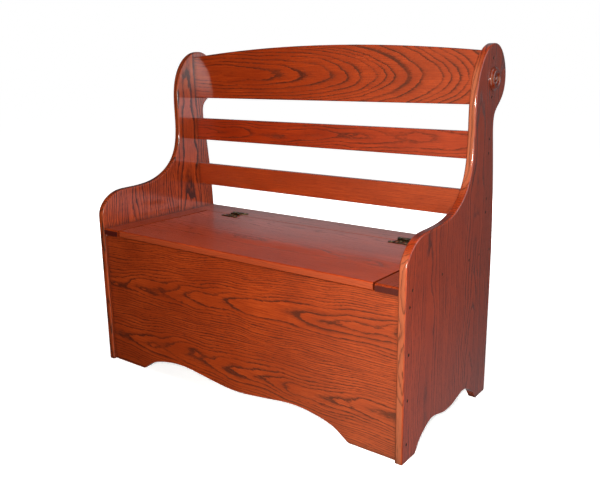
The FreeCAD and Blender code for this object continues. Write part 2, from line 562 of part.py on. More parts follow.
def leaf(name, x, lid_side):
    body = new_body(name)
    s = -1.0 if lid_side else 1.0
    sketch = new_sketch(body, "XY_Plane", "Outline_" + name)
    y0 = 3.5
    # waisted sides, rounded tips and a waved end, mirrored about the middle
    left = Part.BSplineCurve()
    left.interpolate([V(-hw, s * y0, 0), V(-hw - 0.9, s * 9.8, 0), V(-hw - 5.3, s * 17.0, 0), V(-rr + 1.3, s * 23.0, 0)])
    tip_l = Part.Arc(V(-rr + 1.3, s * 23.0, 0), V(-rr, s * 29.6, 0), V(-rr + 7.0, s * ln, 0))
    end = Part.BSplineCurve()
    end.interpolate([V(-rr + 7.0, s * ln, 0), V(-12.4, s * (ln - 3.1), 0), V(0, s * (ln - 0.9), 0),
                     V(12.4, s * (ln - 3.1), 0), V(rr - 7.0, s * ln, 0)])
    tip_r = Part.Arc(V(rr - 7.0, s * ln, 0), V(rr, s * 29.6, 0), V(rr - 1.3, s * 23.0, 0))
    right = Part.BSplineCurve()
    right.interpolate([V(rr - 1.3, s * 23.0, 0), V(hw + 5.3, s * 17.0, 0), V(hw + 0.9, s * 9.8, 0), V(hw, s * y0, 0)])
    for g in (left, tip_l, end, tip_r, right, Part.LineSegment(V(hw, s * y0, 0), V(-hw, s * y0, 0))):
        sketch.addGeometry(g, False)
    sketch.addConstraint(Sketcher.Constraint("Horizontal", 5))
    pad(body, sketch, "leaf_thick")
    # pierced work: an opening on each side of the middle screw, one behind it
    before = body.Tip.Shape.Volume
    sketch = new_sketch(body, "XY_Plane", "Openings_" + name, dim("leaf_thick"))
    side_hole = [(6.3, 10.0), (9.8, 7.9), (13.6, 9.2), (16.2, 14.0), (17.6, 19.2), (16.6, 23.6), (13.4, 27.4),
                 (9.6, 28.6), (6.5, 27.2), (5.9, 18.5)]
    for m in (-1.0, 1.0):
        loop = Part.BSplineCurve()
        loop.interpolate([V(m * a, s * b, 0) for a, b in side_hole], PeriodicFlag=True)
        sketch.addGeometry(loop, False)
    loop = Part.BSplineCurve()
    loop.interpolate([V(-3.0, s * 22.0, 0), V(0, s * 19.0, 0), V(3.0, s * 22.0, 0), V(3.2, s * 27.6, 0),
                      V(0, s * 30.4, 0), V(-3.2, s * 27.6, 0)], PeriodicFlag=True)
    sketch.addGeometry(loop, False)
    cutter = body.newObject("PartDesign::Pocket", "Pocket_openings_" + name)
    cutter.Profile = sketch
    cutter.Type = "Length"
    cutter.Length = dim("leaf_thick") + 1.0
    doc.recompute()
    if before - cutter.Shape.Volume < 350.0 * dim("leaf_thick"):
        raise RuntimeError("openings cut nothing in " + name)
    own = (1, 3) if lid_side else (0, 2, 4)
    for k in own:
        x0 = -bl / 2.0 + k * seg + (gap / 2.0 if k > 0 else 0.0)
        x1 = -bl / 2.0 + (k + 1) * seg - (gap / 2.0 if k < 4 else 0.0)
        web = new_sketch(body, "YZ_Plane", "Web_%s_%d" % (name, k), x0)
        b = dim("barrel_radius")
        lt = dim("leaf_thick")
        # knuckle outline: a round barrel with a foot that runs into the leaf
        a0 = math.asin((b - lt) / b)
        edge = math.sqrt(b * b - (b - lt) ** 2)
        p0 = V(0, 0, 0)
        p1 = V(s * (y0 + 1.0), 0, 0)
        p2 = V(s * (y0 + 1.0), lt, 0)
        p3 = V(s * edge, lt, 0)
        far = V(-s * b * math.cos(0.4), b + b * math.sin(0.4), 0)
        web.addGeometry(Part.LineSegment(p0, p1), False)
        web.addGeometry(Part.LineSegment(p1, p2), False)
        web.addGeometry(Part.LineSegment(p2, p3), False)
        web.addGeometry(Part.Arc(p3, V(0, 2.0 * b, 0), far), False)
        web.addGeometry(Part.Arc(far, V(-s * b, b, 0), p0), False)
        pad_length(body, web, x1 - x0)
    bore = "pin_bore_radius" if lid_side else "pin_radius"
    sketch = new_sketch(body, "YZ_Plane", "Bore_" + name, -bl)
    g = sketch.addGeometry(Part.Circle(V(0, dim("barrel_radius"), 0), V(0, 0, 1), dim(bore)), False)
    c = sketch.addConstraint(Sketcher.Constraint("Radius", g, dim(bore)))
    sketch.renameConstraint(c, "bore_radius")
    sketch.setExpression("Constraints.bore_radius", ref(bore))
    before = body.Tip.Shape.Volume
    cutter = body.newObject("PartDesign::Pocket", "Pocket_bore_" + name)
    cutter.Profile = sketch
    cutter.Type = "Length"
    cutter.Length = 2.0 * bl
    cutter.Reversed = True
    doc.recompute()
    if before - cutter.Shape.Volume < 50.0:
        raise RuntimeError("bore cut nothing in " + name)
    drill(body, "XY_Plane", dim("leaf_thick"), [(a, s * -b) for a, b in leaf_points if a != 0.0],
          "leaf_screw_radius", dim("leaf_thick") + 1.0, False, "outer")
    sketch = new_sketch(body, "XY_Plane", "Middle_" + name, dim("leaf_thick"))
    yy = [b for a, b in leaf_points if a == 0.0][0]
    sketch.addGeometry(Part.Circle(V(0, -s * yy, 0), V(0, 0, 1), dim("leaf_screw_radius")), False)
    cutter = body.newObject("PartDesign::Pocket", "Pocket_middle_" + name)
    cutter.Profile = sketch
    cutter.Type = "Length"
    cutter.Length = dim("leaf_thick") + 1.0
    doc.recompute()
    place(body, x, dim("hinge_depth"), dim("seat_base") + thick)
    return body


for tag, x in (("left", -hx), ("right", hx)):
    leaf(tag + "_hinge_fixed_leaf", x, False)
    leaf(tag + "_hinge_lid_leaf", x, True)
    pin = new_body(tag + "_hinge_pin")
    sk = new_sketch(pin, "XY_Plane", "Profile_%s_pin" % tag)
    pr = dim("pin_radius")
    e0 = bl / 2.0
    outline = [V(-e0 - 2.2, 0, 0), V(-e0 - 1.9, 1.2, 0), V(-e0 - 1.2, 2.1, 0), V(-e0 - 0.05, 2.5, 0), V(-e0 - 0.05, pr, 0),
               V(e0 + 0.05, pr, 0), V(e0 + 0.05, 2.5, 0), V(e0 + 1.2, 2.1, 0), V(e0 + 1.9, 1.2, 0), V(e0 + 2.2, 0, 0)]
    for i in range(len(outline)):
        sk.addGeometry(Part.LineSegment(outline[i], outline[(i + 1) % len(outline)]), False)
    turn = pin.newObject("PartDesign::Revolution", "Turned_%s_pin" % tag)
    turn.Profile = sk
    turn.ReferenceAxis = (sk, ["H_Axis"])
    turn.Angle = 360.0
    doc.recompute()
    place(pin, x, dim("hinge_depth"), axis_z)

# ------------------------------------------------------------------ rosettes
# Turned rosettes on the ears: ring, cove and centre button on a flat disc,
# with a spigot behind it.  Distances from the axis and from the panel face.
for name, side in (("left_ear_rosette", -1.0), ("right_ear_rosette", 1.0)):
    rosette = new_body(name)
    sk = new_sketch(rosette, "XZ_Plane", "Profile_" + name)
    R = dim("rosette_radius")
    sr = dim("spigot_radius")
    sl = dim("spigot_length")
    top = Part.BSplineCurve()
    top.interpolate([V(0, 8.2, 0), V(4.0, 7.7, 0), V(7.5, 5.6, 0), V(9.5, 3.4, 0), V(12.0, 3.0, 0), V(14.5, 4.6, 0),
                     V(17.5, 7.6, 0), V(20.5, 8.6, 0), V(24.0, 7.4, 0), V(26.5, 4.6, 0), V(28.2, 3.2, 0), V(R, 2.0, 0)])
    sk.addGeometry(Part.LineSegment(V(0, -sl, 0), V(0, 8.2, 0)), False)
    sk.addGeometry(top, False)
    sk.addGeometry(Part.LineSegment(V(R, 2.0, 0), V(R, 0, 0)), False)
    sk.addGeometry(Part.LineSegment(V(R, 0, 0), V(sr, 0, 0)), False)
    sk.addGeometry(Part.LineSegment(V(sr, 0, 0), V(sr, -sl, 0)), False)
    sk.addGeometry(Part.LineSegment(V(sr, -sl, 0), V(0, -sl, 0)), False)
    turn = rosette.newObject("PartDesign::Revolution", "Turned_" + name)
    turn.Profile = sk
    turn.ReferenceAxis = (sk, ["V_Axis"])
    turn.Angle = 360.0
    doc.recompute()
    place(rosette, side * half, dim("rosette_depth"), dim("rosette_height"),
          FreeCAD.Rotation(V(0, 1, 0), side * 90.0))


# ----------------------------------------------------------------- fasteners
def group(name, solids):
    """Identical fasteners of one kind, kept as separate solids in one piece."""
    feature = doc.addObject("Part::Feature", name)
    feature.Label = name
    feature.Shape = Part.makeCompound(solids)
    feature.Placement = FreeCAD.Placement(V(0, shift, 0), FreeCAD.Rotation())
    nodes.append(feature)
    return feature


def lathe(profile, base, axis, slot=None):
    """A turned solid: profile is (distance along, radius) from base along axis.
    slot is (angle, width, depth) of a drive slot across the near end."""
    pts = [V(r, 0, a) for a, r in profile]
    wire = Part.makePolygon(pts + [pts[0]])
    solid = Part.Face(wire).revolve(V(0, 0, 0), V(0, 0, 1), 360.0)
    if slot:
        angle, width, depth = slot
        near = min(a for a, r in profile)
        bar = Part.makeBox(20.0, width, depth + 1.0, V(-10.0, -width / 2.0, near - 1.0))
        bar.rotate(V(0, 0, 0), V(0, 0, 1), angle)
        solid = solid.cut(bar).Solids[0]
    solid.Placement = FreeCAD.Placement(base, FreeCAD.Rotation(V(0, 0, 1), axis))
    return Part.Solid(solid) if solid.ShapeType != "Solid" else solid


br = dim("bolt_radius")
bh = dim("bolt_head_radius")
cb = dim("counterbore_depth")
pl = dim("plug_length")
pt = dim("panel_thick")


def side_screws(points):
    out = []
    reach = pt + dim("bolt_grip") - 1.0
    for side in (-1.0, 1.0):
        for a, b in points:
            profile = [(5.2, 0), (5.2, bh), (cb, bh), (cb, br), (reach - 4.0, br), (reach, 0.4), (reach, 0)]
            out.append(lathe(profile, V(side * half, a, b), V(-side, 0, 0)))
    return out


group("crest_rail_screws", side_screws(crest_points))
group("upper_slat_screws", side_screws(upper_points))
group("lower_slat_screws", side_screws(lower_points))
group("seat_strip_screws", side_screws(strip_points))
group("rear_board_screws", side_screws(rear_board_points))
group("front_panel_screws", side_screws(front_points))

for name, side in (("left_hole_plugs", -1.0), ("right_hole_plugs", 1.0)):
    solids = []
    r = dim("plug_radius")
    for a, b in side_points:
        profile = [(0.3, 0), (0.3, r - 0.5), (0.7, r), (0.3 + pl, r), (0.3 + pl, 0)]
        solids.append(lathe(profile, V(side * half, a, b), V(-side, 0, 0)))
    group(name, solids)

cr = dim("cleat_screw_radius")
ch = dim("cleat_screw_head")
cg = dim("cleat_screw_grip")


def pan_screw(base, axis, through):
    """Slotted pan head on the surface at base, shank along axis."""
    reach = through + cg - 0.5
    profile = [(-2.2, 0), (-2.2, ch * 0.45), (-1.7, ch * 0.8), (-0.9, ch), (0.0, ch), (0.0, cr),
               (reach - 3.0, cr), (reach, 0.3), (reach, 0)]
    turned = (base.x * 0.37 + base.y * 0.91 + base.z * 0.53) % 180.0
    return lathe(profile, base, axis, (turned, 1.0, 1.1))


solids = []
for x in long_cleat_x:
    solids.append(pan_screw(V(x, inner_front + cs, cleat_z), V(0, -1, 0), cs))
    solids.append(pan_screw(V(x, dim("back_panel_face") - cs, cleat_z), V(0, 1, 0), cs))
group("bottom_cleat_screws", solids)

solids = []
for side in (-1.0, 1.0):
    for z in rear_rows:
        solids.append(pan_screw(V(side * rear_screw_x, dim("back_panel_face") + thick, z), V(0, -1, 0), thick))
group("back_panel_screws", solids)

solids = []
for side in (-1.0, 1.0):
    for b in batten_screws:
        solids.append(pan_screw(V(side * dim("batten_offset"), b, dim("seat_base") - dim("batten_thick")),
                                V(0, 0, 1), dim("batten_thick")))
group("lid_batten_screws", solids)

lr = dim("leaf_screw_radius")
lh = dim("leaf_screw_head")
lt = dim("leaf_thick")
seat_z = dim("seat_base") + thick


def leaf_screws(sign):
    out = []
    for side in (-1.0, 1.0):
        for a, b in leaf_points:
            reach = lt + dim("leaf_screw_grip") - 0.6
            profile = [(-1.6, 0), (-1.5, lh * 0.4), (-1.0, lh * 0.78), (-0.35, lh * 0.97), (0.0, lh), (0.0, lr),
                       (reach - 2.5, lr), (reach, 0.3), (reach, 0)]
            base = V(side * hx + a, dim("hinge_depth") + sign * b, seat_z + lt)
            out.append(lathe(profile, base, V(0, 0, -1), ((a * 7.0 + b * 3.0 + side * 40.0 + sign * 25.0) % 180.0, 0.8, 0.8)))
    return out


group("lid_hinge_screws", leaf_screws(1.0))
group("fixed_hinge_screws", leaf_screws(-1.0))

# ---------------------------------------------------------- checks and files
doc.recompute()
bad = []
for obj in doc.Objects:
    if "Invalid" in obj.State or "Error" in obj.State:
        bad.append("%s %s" % (obj.Name, obj.State))
for node in nodes:
    if node.Shape.isNull() or not node.Shape.isValid():
        bad.append("shape of " + node.Label)
if bad:
    raise RuntimeError("failed objects: " + "; ".join(bad))
os.makedirs("parts", exist_ok=True)
for node in nodes:
    node.Shape.exportStep(os.path.join("parts", node.Label + ".step"))
total = sum(node.Shape.Volume for node in nodes)
print("pieces", len(nodes), "volume cm3", round(total / 1000.0, 1))
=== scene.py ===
import bpy
import math
from mathutils import Matrix, Vector

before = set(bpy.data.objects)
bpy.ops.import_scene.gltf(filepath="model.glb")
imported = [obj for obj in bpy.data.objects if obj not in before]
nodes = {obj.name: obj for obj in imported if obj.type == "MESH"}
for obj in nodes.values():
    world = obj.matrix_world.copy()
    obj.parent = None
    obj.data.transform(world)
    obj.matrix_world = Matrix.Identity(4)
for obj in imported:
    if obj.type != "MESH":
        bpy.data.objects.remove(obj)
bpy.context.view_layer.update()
scene = bpy.context.scene


# ------------------------------------------------------------ node shorthand
class Tree:
    """A short way to write shader maths."""

    def __init__(self, name):
        self.mat = bpy.data.materials.new(name)
        self.mat.use_nodes = True
        self.nt = self.mat.node_tree
        self.nt.nodes.clear()
        self.out = self.nt.nodes.new("ShaderNodeOutputMaterial")

    def node(self, kind, **props):
        n = self.nt.nodes.new(kind)
        for k, v in props.items():
            setattr(n, k, v)
        return n

    def link(self, a, b):
        self.nt.links.new(a, b)

    def put(self, value, socket):
        if isinstance(value, bpy.types.NodeSocket):
            self.link(value, socket)
        else:
            socket.default_value = value

    def math(self, op, a, b=None, c=None, clamp=False):
        n = self.node("ShaderNodeMath", operation=op, use_clamp=clamp)
        for i, v in enumerate((a, b, c)):
            if v is not None:
                self.put(v, n.inputs[i])
        return n.outputs[0]

    def add(self, a, b):
        return self.math("ADD", a, b)

    def sub(self, a, b):
        return self.math("SUBTRACT", a, b)

    def mul(self, a, b):
        return self.math("MULTIPLY", a, b)

    def mad(self, a, b, c):
        return self.math("MULTIPLY_ADD", a, b, c)

    def vec(self, x, y, z):
        n = self.node("ShaderNodeCombineXYZ")
        for i, v in enumerate((x, y, z)):
            self.put(v, n.inputs[i])
        return n.outputs[0]

    def noise(self, vector, detail=2.0, rough=0.5, scale=1.0, distortion=0.0):
        n = self.node("ShaderNodeTexNoise", noise_dimensions="3D")
        self.put(vector, n.inputs["Vector"])
        n.inputs["Scale"].default_value = scale
        n.inputs["Detail"].default_value = detail
        n.inputs["Roughness"].default_value = rough
        n.inputs["Distortion"].default_value = distortion
        return n.outputs["Fac"]

    def ramp(self, fac, stops, interpolation="LINEAR"):
        """stops are (position, value or colour)."""
        n = self.node("ShaderNodeValToRGB")
        n.color_ramp.interpolation = interpolation
        el = n.color_ramp.elements
        while len(el) > 1:
            el.remove(el[-1])
        for i, (pos, val) in enumerate(stops):
            e = el[0] if i == 0 else el.new(pos)
            e.position = pos
            col = (val, val, val) if isinstance(val, (int, float)) else val
            e.color = (col[0], col[1], col[2], 1.0)
        self.put(fac, n.inputs[0])
        return n.outputs[0]

    def remap(self, v, a, b, c, d, smooth=False):
        n = self.node("ShaderNodeMapRange", clamp=True)
        if smooth:
            n.interpolation_type = "SMOOTHSTEP"
        for i, x in enumerate((v, a, b, c, d)):
            self.put(x, n.inputs[i])
        return n.outputs[0]

    def mix(self, fac, a, b, blend="MIX"):
        n = self.node("ShaderNodeMix", data_type="RGBA", blend_type=blend)
        n.clamp_factor = True
        self.put(fac, n.inputs[0])
        self.put(a if isinstance(a, bpy.types.NodeSocket) else (*a, 1.0), n.inputs[6])
        self.put(b if isinstance(b, bpy.types.NodeSocket) else (*b, 1.0), n.inputs[7])
        return n.outputs[2]

    def split(self, v):
        n = self.node("ShaderNodeSeparateXYZ")
        self.link(v, n.inputs[0])
        return n.outputs[0], n.outputs[1], n.outputs[2]

    def edge(self, radius, samples=4):
        """How strongly a spot lies on a sharp or rounded arris, from 0 to 1."""
        b = self.node("ShaderNodeBevel", samples=samples)
        b.inputs["Radius"].default_value = radius
        g = self.node("ShaderNodeNewGeometry")
        d = self.node("ShaderNodeVectorMath", operation="DOT_PRODUCT")
        self.link(b.outputs[0], d.inputs[0])
        self.link(g.outputs["Normal"], d.inputs[1])
        return self.remap(d.outputs["Value"], 1.0, 0.75, 0.0, 1.0)


def steps(t, v, boards, lo, hi, key, scale):
    """A value that is constant over each board's width: boards are dicts with
    the keys 'to' (upper edge, mm) and the named values."""
    fac = t.remap(v, lo, hi, 0.0, 1.0)
    stops = []
    start = lo
    for b in boards:
        stops.append(((start - lo) / (hi - lo), b[key] / scale * 0.5 + 0.5))
        start = b["to"]
    return t.mad(t.sub(t.ramp(fac, stops, "CONSTANT"), 0.5), 2.0 * scale, 0.0)


LIGHT = (0.465, 0.055, 0.0078)     # late wood under the stain
WARM = (0.295, 0.0285, 0.0038)      # mid tone
DARK = (0.095, 0.0110, 0.0030)    # open early wood that took the stain


def oak(name, grain, across, face, lo, hi, boards, contrast=1.0, seed=0.0, light=LIGHT, warm=WARM,
        dark=DARK, rough=0.36, coat=0.8, coat_rough=0.10, wave=1.0, end=0.35, lip=0.0,
        lip_light=(0.60, 0.125, 0.040), lip_dark=(0.17, 0.026, 0.010), bend=None, tint=None, uneven=0.8):
    """Stained, varnished oak.  The grain is that of boards sawn from a log:
    rings round a pith that runs at a small angle to each board's face.
    grain, across and face are 'X', 'Y' or 'Z' with face = (axis, sign, offset)
    in mm, so that depth is measured from the board's face into the wood."""
    t = Tree(name)
    tc = t.node("ShaderNodeTexCoord")
    x, y, z = t.split(tc.outputs["Object"])
    axis = {"X": x, "Y": y, "Z": z}
    u = t.mul(axis[grain], 1000.0)
    v = t.mul(axis[across], 1000.0)
    w = t.mul(t.sub(t.mul(axis[face[0]], 1000.0), face[2]), face[1])
    S = lambda key, scale: steps(t, v, boards, lo, hi, key, scale)
    centre = S("centre", 1000.0)
    slope = S("slope", 0.5)
    depth = S("depth", 300.0)
    lean = S("lean", 0.5)
    shift = S("seed", 50.0)
    tone = S("tone", 1.0)
    ring = S("ring", 20.0)
    su = t.mad(shift, 37.0, u)
    # broad wander of the pith, then the ripple of the rings
    n1 = t.sub(t.noise(t.vec(t.mul(su, 0.0050), t.add(t.mul(v, 0.010), t.mul(shift, 1.7)),
                             t.mad(w, 0.010, seed)), 1.0), 0.5)
    n2 = t.sub(t.noise(t.vec(t.mad(su, 0.0060, 17.0), t.mad(v, 0.011, 5.0), t.mad(w, 0.010, seed + 3.0)), 1.0), 0.5)
    n3 = t.sub(t.noise(t.vec(t.mul(su, 0.013), t.mad(v, 0.050, shift), t.mad(w, 0.050, seed)), 2.0, 0.55), 0.5)
    n4 = t.sub(t.noise(t.vec(t.mul(su, 0.060), t.mad(v, 0.55, shift), t.mad(w, 0.55, seed)), 2.0, 0.6), 0.5)
    dv = t.add(t.sub(t.sub(v, centre), t.mul(slope, u)), t.mul(n1, 34.0 * wave))
    along = u
    if bend:
        # the pith runs parallel to the face up to 'bend' and dives away after it
        q = t.sub(u, bend[0])
        along = t.mul(t.add(t.math("SQRT", t.mad(q, q, bend[1] * bend[1])), q), 0.5)
    dw = t.add(t.sub(t.sub(w, depth), t.mul(lean, along)), t.mul(n2, 18.0 * wave))
    r = t.math("SQRT", t.add(t.mul(dv, dv), t.mul(dw, dw)))
    r = t.add(r, t.add(t.mul(n3, 6.5 * wave), t.mul(n4, 2.2)))
    # ring widths vary from year to year
    years = t.noise(t.vec(t.mad(r, 0.040, t.mul(shift, 3.1)), seed + 9.0, 0.0), 1.0)
    phase = t.add(t.math("DIVIDE", r, ring), t.mul(years, 3.4))
    f = t.math("FRACT", phase)
    early = t.ramp(f, [(0.0, 0.12), (0.05, 1.0), (0.14, 0.80), (0.28, 0.26), (0.52, 0.06), (0.92, 0.0), (1.0, 0.12)])
    # each year's line is stronger or weaker, and fades along the board
    vary = t.noise(t.vec(t.mul(t.math("FLOOR", phase), 0.73), t.mul(su, 0.006), t.mul(v, 0.02)), 1.0)
    early = t.mul(early, t.remap(vary, 0.34, 0.62, 0.40, 1.15))
    # vessels: dark dashes along the grain, packed in the early wood
    dash = t.noise(t.vec(t.mul(su, 0.060), t.mul(v, 1.05), t.mul(w, 1.05)), 1.0, 0.5)
    dash = t.remap(dash, 0.50, 0.64, 0.0, 1.0)
    pores = t.mul(dash, t.remap(early, 0.05, 0.6, 0.30, 1.0))
    # rays and thin streaks in the late wood
    streak = t.noise(t.vec(t.mul(su, 0.010), t.mul(v, 0.40), t.mul(w, 0.40)), 3.0, 0.6)
    blotch = t.noise(t.vec(t.mul(su, 0.006), t.mad(v, 0.011, shift), t.mul(w, 0.012)), 2.0, 0.5)
    base = t.mix(t.remap(streak, 0.36, 0.64, 0.0, 1.0), light, warm)
    base = t.mix(t.remap(blotch, 0.38, 0.70, 0.0, 0.85), base, warm)
    k = t.mul(early, 0.88 * contrast)
    k = t.math("ADD", k, t.mul(pores, 0.62 * contrast), clamp=True)
    colour = t.mix(k, base, dark)
    bright = t.node("ShaderNodeHueSaturation")
    bright.inputs["Saturation"].default_value = 1.0
    t.link(t.add(tone, 1.0), bright.inputs["Value"])
    t.link(colour, bright.inputs["Color"])
    colour = bright.outputs[0]
    if tint:
        # one tint for the whole board, the same from end to end
        colour = t.mix(1.0, colour, tint, "MULTIPLY")
    # end grain drinks more stain and comes out darker
    nx, ny, nz = t.split(tc.outputs["Normal"])
    facing = t.math("ABSOLUTE", {"X": nx, "Y": ny, "Z": nz}[grain])
    colour = t.mix(t.remap(facing, 0.88, 0.985, 0.0, end, True), colour, (0.042, 0.0035, 0.0045))
    if lip:
        # faces turned to the front (-Y) are mixed towards their own light and dark colours, by the amount 'lip'
        colour = t.mix(t.remap(ny, -0.97, -0.62, lip, 0.0), colour, t.mix(k, lip_light, lip_dark))
    # painted shade, partly stain gathered in the joints: the colour darkens in corners and where parts meet,
    # following an ambient-occlusion mask
    ao = t.node("ShaderNodeAmbientOcclusion", samples=4)
    ao.inputs["Distance"].default_value = 0.014
    joint_stain_and_shade = t.remap(ao.outputs["AO"], 0.45, 0.95, 0.62, 0.0)
    colour = t.mix(joint_stain_and_shade, colour, (0.030, 0.0045, 0.0015))
    # painted highlight on the arrises, partly thinner stain on the sanded edges: the colour lightens along them
    colour = t.mix(t.mul(t.edge(0.0022), 0.20), colour, (0.56, 0.105, 0.025))
    bsdf = t.node("ShaderNodeBsdfPrincipled")
    t.link(colour, bsdf.inputs["Base Color"])
    t.link(t.add(t.mul(k, 0.16), rough), bsdf.inputs["Roughness"])
    bsdf.inputs["Specular IOR Level"].default_value = 0.12
    bsdf.inputs["Coat Weight"].default_value = coat
    bsdf.inputs["Coat Roughness"].default_value = coat_rough
    bsdf.inputs["Coat IOR"].default_value = 1.5
    # open pores show through the varnish, and the varnish itself lies uneven
    relief = t.add(t.mul(pores, -0.7), t.mul(early, -0.25))
    orange = t.noise(t.vec(t.mul(u, 0.06), t.mul(v, 0.09), t.mul(w, 0.09)), 2.0)
    bump = t.node("ShaderNodeBump")
    bump.inputs["Strength"].default_value = 0.35
    bump.inputs["Distance"].default_value = 0.00035
    t.link(t.add(relief, t.mul(orange, uneven)), bump.inputs["Height"])
    t.link(bump.outputs[0], bsdf.inputs["Normal"])
    t.link(bump.outputs[0], bsdf.inputs["Coat Normal"])
    t.link(bsdf.outputs[0], t.out.inputs[0])
    return t.mat


def B(to, centre, slope=0.0, depth=60.0, lean=0.0, seed=1.0, tone=0.0, ring=5.0):
    return dict(to=to, centre=centre, slope=slope, depth=depth, lean=lean, seed=seed, tone=tone, ring=ring)


Y0 = -258.53


def finish_node(name, mat):
    o = nodes[name]
    o.data.materials.clear()
    o.data.materials.append(mat)
    return o


# -------------------------------------------------------------- wood pieces
finish_node("front_panel", oak("oak_front", "X", "Z", ("Y", 1.0, Y0 + 11.0), 0.0, 411.0, [
    B(200.0, 101.0, 0.012, 62.0, -0.036, 1.3, 0.0, 4.8),
    B(411.0, 290.0, 0.052, 60.0, -0.034, 4.1, -0.02, 4.8)], contrast=1.4, wave=0.8, light=(0.50, 0.062, 0.0090), warm=(0.30, 0.030, 0.0040),
    tint=(0.93, 1.0, 1.05)))
finish_node("crest_rail", oak("oak_crest", "X", "Z", ("Y", 1.0, Y0 + 417.5), 800.0, 975.0, [
    B(975.0, 885.0, -0.01, 60.0, 0.22, 7.7, 0.0, 7.0)], contrast=1.25, wave=0.45, bend=(60.0, 200.0),
    tint=(0.95, 0.90, 0.75)))
finish_node("upper_back_slat", oak("oak_upper", "X", "Z", ("Y", 1.0, Y0 + 417.5), 660.0, 745.0, [
    B(745.0, 706.0, 0.02, 34.0, 0.02, 12.4, -0.04, 5.0)], wave=0.7,
    tint=(0.98, 0.76, 0.65)))
finish_node("lower_back_slat", oak("oak_lower", "X", "Z", ("Y", 1.0, Y0 + 417.5), 505.0, 590.0, [
    B(590.0, 820.0, 0.0, 20.0, 0.0, 15.9, 0.02, 3.2)], contrast=0.6, wave=0.5,
    tint=(0.93, 0.96, 1.0)))
lid_boards = [
    B(Y0 + 100.0, Y0 - 60.0, 0.02, 70.0, 0.015, 21.0, -0.03, 4.4),
    B(Y0 + 215.0, Y0 + 150.0, -0.03, 80.0, 0.02, 24.2, 0.03, 6.5),
    B(Y0 + 300.0, Y0 + 420.0, 0.0, 60.0, 0.0, 27.6, -0.02, 3.8),
    B(Y0 + 400.0, Y0 + 345.0, 0.02, 75.0, -0.02, 30.3, 0.02, 6.0)]
finish_node("seat_lid", oak("oak_lid", "X", "Y", ("Z", -1.0, 430.0), Y0, Y0 + 400.0, lid_boards,
                            contrast=0.6, coat_rough=0.075, lip=0.7, lip_light=(0.36, 0.062, 0.020),
                            lip_dark=(0.21, 0.030, 0.011),
                            tint=(1.05, 0.94, 0.72)))
finish_node("rear_seat_board", oak("oak_rear_board", "X", "Y", ("Z", -1.0, 430.0), Y0 + 380.0, Y0 + 484.0, [
    B(Y0 + 484.0, Y0 + 430.0, 0.03, 70.0, 0.01, 33.0, 0.0, 5.5)], contrast=0.65, coat_rough=0.075))
for side, c in (("left", -484.0), ("right", 484.0)):
    finish_node(side + "_seat_strip", oak("oak_strip_" + side, "Y", "X", ("Z", -1.0, 430.0), c - 40.0, c + 40.0, [
        B(c + 40.0, c + 70.0, 0.0, 40.0, 0.0, 36.0 if c < 0 else 39.0, -0.14 if c < 0 else -0.30, 4.6)],
        contrast=0.9, coat=0.45, end=0.9))


def side_boards(k):
    return [
        B(Y0 + 100.0, Y0 + 190.0, 0.01, 60.0, 0.01, 2.0 + k, 0.0, 5.6),
        B(Y0 + 205.0, Y0 + 120.0, -0.02, 50.0, 0.015, 5.0 + k, -0.05, 6.4),
        B(Y0 + 305.0, Y0 + 330.0, 0.01, 45.0, -0.02, 9.0 + k, 0.03, 6.0),
        B(Y0 + 415.0, Y0 + 360.0, 0.015, 52.0, 0.03, 14.0 + k, 0.0, 6.8),
        B(Y0 + 520.0, Y0 + 500.0, 0.0, 60.0, 0.0, 19.0 + k, -0.04, 5.6)]


finish_node("left_side_panel", oak("oak_left", "Z", "Y", ("X", -1.0, -515.0), Y0, Y0 + 520.0, side_boards(3.0),
                                   contrast=2.1, light=(0.46, 0.060, 0.0080), warm=(0.25, 0.027, 0.0036),
                                   dark=(0.045, 0.0060, 0.0022), end=0.8, lip=0.15, lip_light=(0.42, 0.085, 0.030)))
finish_node("right_side_panel", oak("oak_right", "Z", "Y", ("X", -1.0, 535.0), Y0, Y0 + 520.0, side_boards(20.0),
                                    contrast=1.35, light=(0.39, 0.046, 0.0085), warm=(0.27, 0.027, 0.0050), end=0.8, lip=0.9,
                                    lip_light=(0.37, 0.086, 0.033), lip_dark=(0.17, 0.038, 0.016)))
plain = oak("oak_inside", "X", "Z", ("Y", 1.0, 0.0), 0.0, 480.0, [
    B(150.0, 60.0, 0.01, 60.0, 0.02, 41.0, -0.05),
    B(285.0, 240.0, -0.01, 55.0, -0.02, 44.0, 0.0),
    B(480.0, 370.0, 0.02, 65.0, 0.02, 47.0, -0.03)], contrast=0.8)
for n in ("back_panel", "front_bottom_cleat", "rear_bottom_cleat"):
    finish_node(n, plain)
flat = oak("oak_flat", "X", "Y", ("Z", -1.0, 92.0), -300.0, 300.0, [
    B(-100.0, -160.0, 0.01, 60.0, 0.02, 51.0, -0.05),
    B(60.0, 0.0, -0.01, 55.0, -0.02, 54.0, 0.0),
    B(300.0, 150.0, 0.02, 65.0, 0.02, 57.0, -0.03)], contrast=0.8)
finish_node("bottom_panel", flat)
run_y = oak("oak_run_y", "Y", "X", ("Z", -1.0, 430.0), -520.0, 520.0, [
    B(0.0, -300.0, 0.0, 60.0, 0.01, 61.0, 0.0), B(520.0, 300.0, 0.0, 60.0, 0.01, 64.0, 0.0)], contrast=0.8)
for n in ("left_bottom_cleat", "right_bottom_cleat", "left_lid_batten", "right_lid_batten"):
    finish_node(n, run_y)
upright = oak("oak_upright", "Z", "X", ("Y", 1.0, 0.0), -520.0, 520.0, [
    B(0.0, -480.0, 0.0, 60.0, 0.01, 66.0, 0.0), B(520.0, 480.0, 0.0, 60.0, 0.01, 69.0, 0.0)], contrast=0.8)
for n in ("left_corner_cleat", "right_corner_cleat"):
    finish_node(n, upright)
for side, s in (("left", -1.0), ("right", 1.0)):
    finish_node(side + "_ear_rosette", oak("oak_rosette_" + side, "Z", "Y", ("X", -s, s * 535.0), -300.0, 300.0, [
        B(300.0, 150.0, 0.0, 30.0, 0.0, 71.0 if s < 0 else 74.0, -0.48)], contrast=0.7, coat=1.0, coat_rough=0.05, uneven=0.1))


